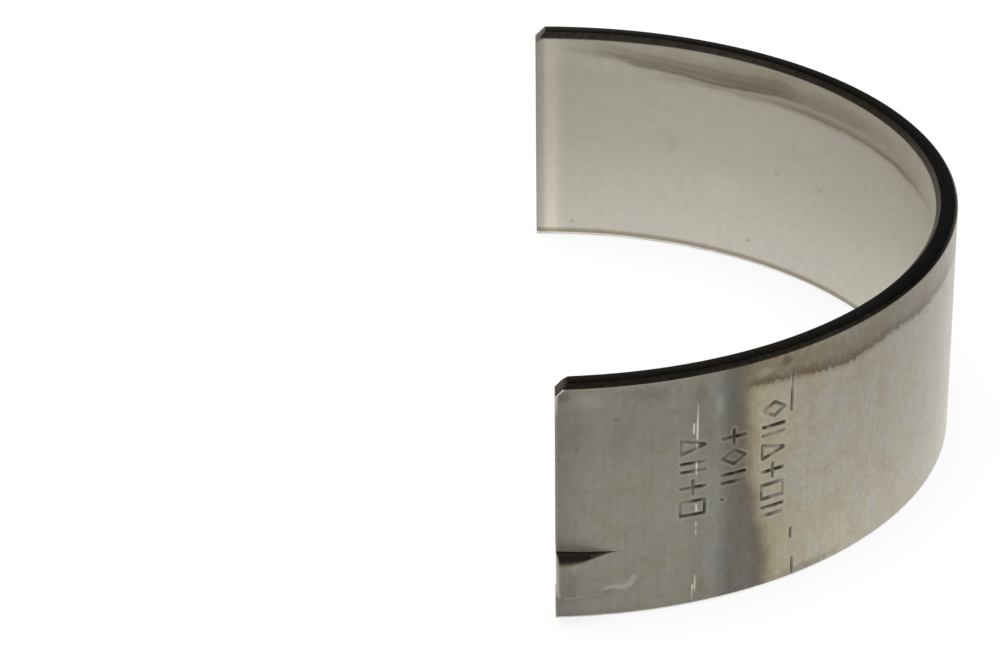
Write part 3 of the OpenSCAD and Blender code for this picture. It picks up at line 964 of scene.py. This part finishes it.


# Lead-tin overlay on the bore, plated and burnished: pale and matt, painted a little darker toward the upper
# side as shade, with a painted reflection lighter where the crush relief slopes, and two dried films below
# the upper edge.
boreFinish = {
    # by height over the lower side; darker toward the upper side as painted shade, where less of the floor is
    # reflected
    "tones": [
        (0.4, "#A09887"), (0.6, "#A39B88"), (0.85, "#CDC8BD"), (5.0, "#C3BEB2"), (9.0, "#B7B2A6"),
        (14.4, "#AEA99D"), (17.3, "#B5B0A4"),
    ],
    "crownFade": (48, 68),  # up to here the bore is lighter
    "crownLight": 0.15,
    "cloud": 3.5,
    "mottle": 0.8,
    "spread": {"cloud": 0.05, "mottle": 0.04},
    "roughness": (0.52, 0.6),
    # painted reflection by distance from a joint face: dark at the very edge, lighter where the crush relief
    # slopes
    "relief": [
        (0.0, 0.68), (0.3, 0.82), (0.5, 0.9), (0.8, 1.13), (1.05, 1.2), (1.55, 1.2), (1.9, 1.1), (2.5, 1.0),
    ],
    "reliefSpan": (0, 3),
    # dried films: the lower border of each, how strong it is along the strip,
    # and its tones by height over that border
    "pool": {
        "line": [
            (60.2, 15.9), (63.4, 15.75), (66.6, 15.7), (69.7, 15.55), (72.9, 15.55), (74.5, 15.3),
            (76.0, 15.15), (79.2, 15.1), (82.4, 15.35), (85.6, 15.6), (88.8, 16.2), (91.4, 16.4),
        ],
        "share": [
            (57.0, 0.0), (60.2, 0.15), (63.4, 0.35), (69.7, 0.45), (72.9, 0.9), (76.0, 1.0), (79.2, 0.8),
            (85.6, 0.8), (88.8, 0.55), (90.0, 0.35), (92.5, 0.1),
        ],
        "tones": [
            (-0.5, "#FFFFFF"), (-0.3, "#F7F6F2"), (-0.15, "#EDEBE5"), (0.0, "#A6A296"), (0.2, "#A39F93"),
            (0.5, "#A8A498"), (0.8, "#B2AEA3"), (1.1, "#C8C4BB"), (1.5, "#DEDBD4"), (2.0, "#E6E4DE"),
        ],
    },
    "tide": {
        "line": [
            (47.6, 15.1), (50.7, 14.95), (53.9, 14.85), (60.2, 14.85), (66.6, 14.8), (72.9, 14.8),
            (76.0, 14.7), (82.4, 14.8),
        ],
        "share": [
            (47.6, 0.1), (50.7, 0.4), (53.9, 0.8), (57.0, 1.0), (66.6, 1.0), (72.9, 0.8), (76.0, 0.5),
            (82.4, 0.3), (86.0, 0.0),
        ],
        "tones": [
            (-0.5, "#FFFFFF"), (-0.3, "#F7F6F2"), (-0.15, "#E6E3DB"), (0.0, "#B8B4A8"), (0.12, "#B8B4A8"),
            (0.3, "#D5D1C8"), (0.5, "#E1DED6"), (2.2, "#E8E5DF"),
        ],
    },
    "filmSpan": (-0.5, 3),
    "ragged": (2.857, 0.667),  # length and height of the waves in the borders
    "raggedReach": 0.3,
    "streak": (14.0, 0.3),  # length and height of the streaks in the films
    "streakNoise": (0.35, 0.65),
    "streakShare": (0.8, 1.12),
    "spots": [
        ((75.5, 2.1), 0.2, 0.16, 0.35), ((91.6, 1.4), 0.25, 0.3, 0.2), ((67.8, 8.8), 0.5, 0.2, 0.15),
        ((72.7, 8.7), 0.16, 0.2, 0.18), ((73.8, 11.7), 0.18, 0.1, 0.25), ((90.6, 8.9), 0.2, 0.1, 0.15),
        ((89.4, 5.7), 0.2, 0.14, 0.2), ((72.0, 4.5), 0.4, 0.3, 0.1), ((62.6, 5.6), 0.3, 0.16, 0.15),
        ((83.0, 9.4), 1.6, 1.2, 0.04), ((70.5, 11.0), 2.4, 1.0, 0.04), ((78.0, 6.2), 2.2, 1.4, -0.05),
    ],
    "specks": {"cell": 3.6, "radius": 0.2, "bareCells": 0.7, "dark": 0.45, "colour": "#5E574B"},
}


def platedBore():
    material, tree, shader, place = newFinish("platedBore")
    along, _, across = addNode(tree, "ShaderNodeSeparateXYZ", {0: place}).node.outputs
    tone = graded(tree, across, acrossStrip, boreFinish["tones"])

    # clouds and finer mottling, the painted reflection of the relief, and more light toward the crown
    toRear = addNode(tree, "ShaderNodeMath", {0: stripLength, 1: along}, operation="SUBTRACT")
    toEnd = addNode(tree, "ShaderNodeMath", {0: toRear, 1: along}, operation="MINIMUM")
    level = graded(tree, toEnd, boreFinish["reliefSpan"], boreFinish["relief"], mostLevel)
    pattern = {}
    for name, detail in (("cloud", 5), ("mottle", 3)):
        spread = boreFinish["spread"][name]
        pattern[name] = addNode(tree, "ShaderNodeTexNoise",
                                {"Vector": place, "Scale": 1 / boreFinish[name], "Detail": detail,
                                 "Roughness": 0.6})
        part = addNode(tree, "ShaderNodeMapRange",
                       {"Value": pattern[name], "From": noiseRange, "To": (1 - spread, 1 + spread)})
        level = addNode(tree, "ShaderNodeMath", {0: level, 1: part}, operation="MULTIPLY")
    atCrown = addNode(tree, "ShaderNodeMapRange",
                      {"Value": along, "From": boreFinish["crownFade"],
                       "To": (1 + boreFinish["crownLight"], 1)}, interpolation_type="SMOOTHSTEP")
    level = addNode(tree, "ShaderNodeMath", {0: level, 1: atCrown}, operation="MULTIPLY")
    tone = addNode(tree, "ShaderNodeVectorMath", {0: tone, "Scale": level}, operation="SCALE")

    # dried films below the upper edge, streaked along the strip
    ragged = patches(tree, place, *boreFinish["ragged"], detail=4)
    ragged = addNode(tree, "ShaderNodeMapRange",
                     {"Value": ragged, "To": (-boreFinish["raggedReach"], boreFinish["raggedReach"])})
    for name in ("pool", "tide"):
        film = boreFinish[name]
        line = graded(tree, along, alongStrip, film["line"], width)
        share = graded(tree, along, alongStrip, film["share"])
        over = addNode(tree, "ShaderNodeMath", {0: across, 1: line}, operation="SUBTRACT")
        over = addNode(tree, "ShaderNodeMath", {0: over, 1: ragged}, operation="ADD")
        stain = graded(tree, over, boreFinish["filmSpan"], film["tones"])
        overLine = addNode(tree, "ShaderNodeCombineXYZ", {"X": along, "Z": over})
        streak = patches(tree, overLine, *boreFinish["streak"], detail=2)
        streak = addNode(tree, "ShaderNodeMapRange",
                         {"Value": streak, "From": boreFinish["streakNoise"],
                          "To": boreFinish["streakShare"]})
        share = addNode(tree, "ShaderNodeMath", {0: share, 1: streak}, operation="MULTIPLY")
        stain = addNode(tree, "ShaderNodeMix", {"Factor": share, "A": white, "B": stain}, data_type="RGBA")
        tone = addNode(tree, "ShaderNodeVectorMath", {0: tone, 1: stain}, operation="MULTIPLY")

    tone = laySpots(tree, tone, place, pattern["mottle"], boreFinish["spots"])
    tone = laySpecks(tree, tone, place, boreFinish["specks"])
    tree.links.new(tone, shader.inputs["Base Color"])
    gloss = addNode(tree, "ShaderNodeMapRange",
                    {"Value": pattern["cloud"], "From": noiseRange, "To": boreFinish["roughness"]})
    tree.links.new(gloss, shader.inputs["Roughness"])
    shader.inputs["Metallic"].default_value = 1
    return material


# Cut and sheared steel: side faces painted very dark and chamfers brushed a little lighter, as painted shade
# of the dim room overhead that they reflect.
edgeFinish = {
    # along the strip; these tones carry the painted shade, darkest around the crown
    "faces": [
        (1.6, "#332E27"), (12.0, "#302B25"), (25.0, "#25201B"), (30.0, "#100E0C"), (35.0, "#100E0C"),
        (42.0, "#13100E"), (70.0, "#15120F"), (78.0, "#1E1B18"), (84.0, "#28241F"), (91.0, "#34302A"),
        (94.0, "#37332D"),
    ],
    "outerChamfer": [
        (12.0, "#564F45"), (20.0, "#544D43"), (25.0, "#403A32"), (30.0, "#1F1B18"), (35.0, "#1A1714"),
        (40.0, "#453F37"), (48.0, "#544D43"),
    ],
    "innerChamfer": [
        (36.0, "#7E776C"), (40.0, "#7E776C"), (44.0, "#686259"), (50.0, "#56514A"), (60.0, "#49443D"),
        (68.0, "#544F47"), (76.0, "#716A5F"), (84.0, "#7A7368"),
    ],
    "corners": [(0.0, "#36312B"), (94.0, "#837D73")],  # cut corners, front and rear
    "lower": "#F4EFE5",  # chamfers of the lower side: a painted reflection of the white floor below them
    "joint": "#7D776D",
    "chamferStart": (0.02, 0.05),  # distance from a side face at which its chamfer begins
    "cutMargin": 0.02,
    "jointMargin": 0.01,
    # the end of the tang, freshly sheared: brightest at the bore and toward its foot
    "sheared": "#C6C0B2",
    "shearedDepth": (0.3, wall),
    "shearedShare": (1, 0.2),
    "shearedHeights": (4.2, 4.9),
    "shearedTop": (1, 0.25),
    "rim": 0.6,  # how much of the grazing shine is kept
    "grit": 0.4,
    "gritSpread": 0.2,
    "roughness": (0.3, 0.42),
}


def darkCutEdge():
    material, tree, shader, place = newFinish("darkCutEdge")
    along, depth, across = addNode(tree, "ShaderNodeSeparateXYZ", {0: place}).node.outputs
    face, outer, inner, corner = (
        graded(tree, along, alongStrip, edgeFinish[name])
        for name in ("faces", "outerChamfer", "innerChamfer", "corners")
    )

    # side faces and their chamfers, in painted shade
    toUpper = addNode(tree, "ShaderNodeMath", {0: width, 1: across}, operation="SUBTRACT")
    toSide = addNode(tree, "ShaderNodeMath", {0: across, 1: toUpper}, operation="MINIMUM")
    slope = addNode(tree, "ShaderNodeMapRange", {"Value": toSide, "From": edgeFinish["chamferStart"]})
    inProfile = addNode(tree, "ShaderNodeMath", {0: toSide, 1: strip["edgeRows"]}, operation="LESS_THAN")
    slope = addNode(tree, "ShaderNodeMath", {0: slope, 1: inProfile}, operation="MULTIPLY")
    isUpper = addNode(tree, "ShaderNodeMath", {0: across, 1: width / 2}, operation="GREATER_THAN")
    isOuter = addNode(tree, "ShaderNodeMath", {0: depth, 1: wall / 2}, operation="GREATER_THAN")
    # the lower chamfers are painted bright, a painted reflection of the floor below
    lower = toLinear(edgeFinish["lower"])
    chamfer = addNode(tree, "ShaderNodeMix", {"Factor": isOuter, "A": inner, "B": outer}, data_type="RGBA")
    chamfer = addNode(tree, "ShaderNodeMix", {"Factor": isUpper, "A": lower, "B": chamfer}, data_type="RGBA")
    tone = addNode(tree, "ShaderNodeMix", {"Factor": slope, "A": face, "B": chamfer}, data_type="RGBA")

    # joint faces; the cut corner is as far from the joint face as it is over its own lower edge
    toRear = addNode(tree, "ShaderNodeMath", {0: stripLength, 1: along}, operation="SUBTRACT")
    toEnd = addNode(tree, "ShaderNodeMath", {0: along, 1: toRear}, operation="MINIMUM")
    isJoint = addNode(tree, "ShaderNodeMath", {0: toEnd, 1: edgeFinish["jointMargin"]}, operation="LESS_THAN")
    cut = addNode(tree, "ShaderNodeMath", {0: across, 1: width - strip["cornerChamfer"]},
                  operation="SUBTRACT")
    isCut = addNode(tree, "ShaderNodeMath", {0: cut, 1: toEnd, 2: edgeFinish["cutMargin"]},
                    operation="COMPARE")
    overCut = addNode(tree, "ShaderNodeMath", {0: cut, 1: edgeFinish["jointMargin"]},
                      operation="GREATER_THAN")
    isCut = addNode(tree, "ShaderNodeMath", {0: isCut, 1: overCut}, operation="MULTIPLY")

    # the end of the tang
    sheared = addNode(tree, "ShaderNodeMapRange",
                      {"Value": depth, "From": edgeFinish["shearedDepth"], "To": edgeFinish["shearedShare"]})
    atFront = addNode(tree, "ShaderNodeMath", {0: along, 1: strip["edgeBreak"]}, operation="LESS_THAN")
    overFoot = addNode(tree, "ShaderNodeMath", {0: across, 1: tang["foot"]}, operation="GREATER_THAN")
    underTop = addNode(tree, "ShaderNodeMath", {0: across, 1: tang["top"]}, operation="LESS_THAN")
    toTop = addNode(tree, "ShaderNodeMapRange",
                    {"Value": across, "From": edgeFinish["shearedHeights"], "To": edgeFinish["shearedTop"]})
    for factor in (atFront, overFoot, underTop, toTop):
        sheared = addNode(tree, "ShaderNodeMath", {0: sheared, 1: factor}, operation="MULTIPLY")

    joint = toLinear(edgeFinish["joint"])
    bright = toLinear(edgeFinish["sheared"])
    for factor, colour in ((isJoint, joint), (isCut, corner), (sheared, bright)):
        tone = addNode(tree, "ShaderNodeMix", {"Factor": factor, "A": tone, "B": colour}, data_type="RGBA")
    grit = addNode(tree, "ShaderNodeTexNoise",
                   {"Vector": place, "Scale": 1 / edgeFinish["grit"], "Detail": 3})
    spread = edgeFinish["gritSpread"]
    level = addNode(tree, "ShaderNodeMapRange",
                    {"Value": grit, "From": noiseRange, "To": (1 - spread, 1 + spread)})
    tone = addNode(tree, "ShaderNodeVectorMath", {0: tone, "Scale": level}, operation="SCALE")
    tree.links.new(tone, shader.inputs["Base Color"])
    gloss = addNode(tree, "ShaderNodeMapRange",
                    {"Value": grit, "From": noiseRange, "To": edgeFinish["roughness"]})
    tree.links.new(gloss, shader.inputs["Roughness"])
    shader.inputs["Metallic"].default_value = 1
    shader.inputs["Specular Tint"].default_value = (edgeFinish["rim"],) * 3 + (1,)
    return material


# Put together

shell = bpy.data.objects.new("rolledShell", layStrip())
scene.collection.objects.link(shell)
given = dict(pressSizes)
given["Marks"] = strokeObject("markStrokes", markLines())
given["Scribes"] = strokeObject("scribeLines", scribes)
given["Beads"] = strokeObject("beadLines", beads)
given["Back"] = satinSteelBack()
given["Bore"] = platedBore()
given["Edge"] = darkCutEdge()
print("finishes made")
pressing = shell.modifiers.new("pressAndRoll", "NODES")
pressing.node_group = pressAndRoll()
for item in pressing.node_group.interface.items_tree:
    if item.in_out == "INPUT" and item.name in given:
        pressing[item.identifier] = given[item.name]

graph = bpy.context.evaluated_depsgraph_get()
pressed = shell.evaluated_get(graph)
rolled = bpy.data.meshes.new_from_object(pressed, preserve_all_data_layers=True, depsgraph=graph)
shell.modifiers.clear()
shell.data = rolled
rolled.shade_smooth()
rolled.set_sharp_from_angle(angle=math.radians(strip["sharpAngle"]))
for name in ("Marks", "Scribes", "Beads"):
    bpy.data.objects.remove(given[name])
print("shell rolled:", len(rolled.polygons), "faces,", [m.name for m in rolled.materials])

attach(shell, "root")
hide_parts("bearing_shell")
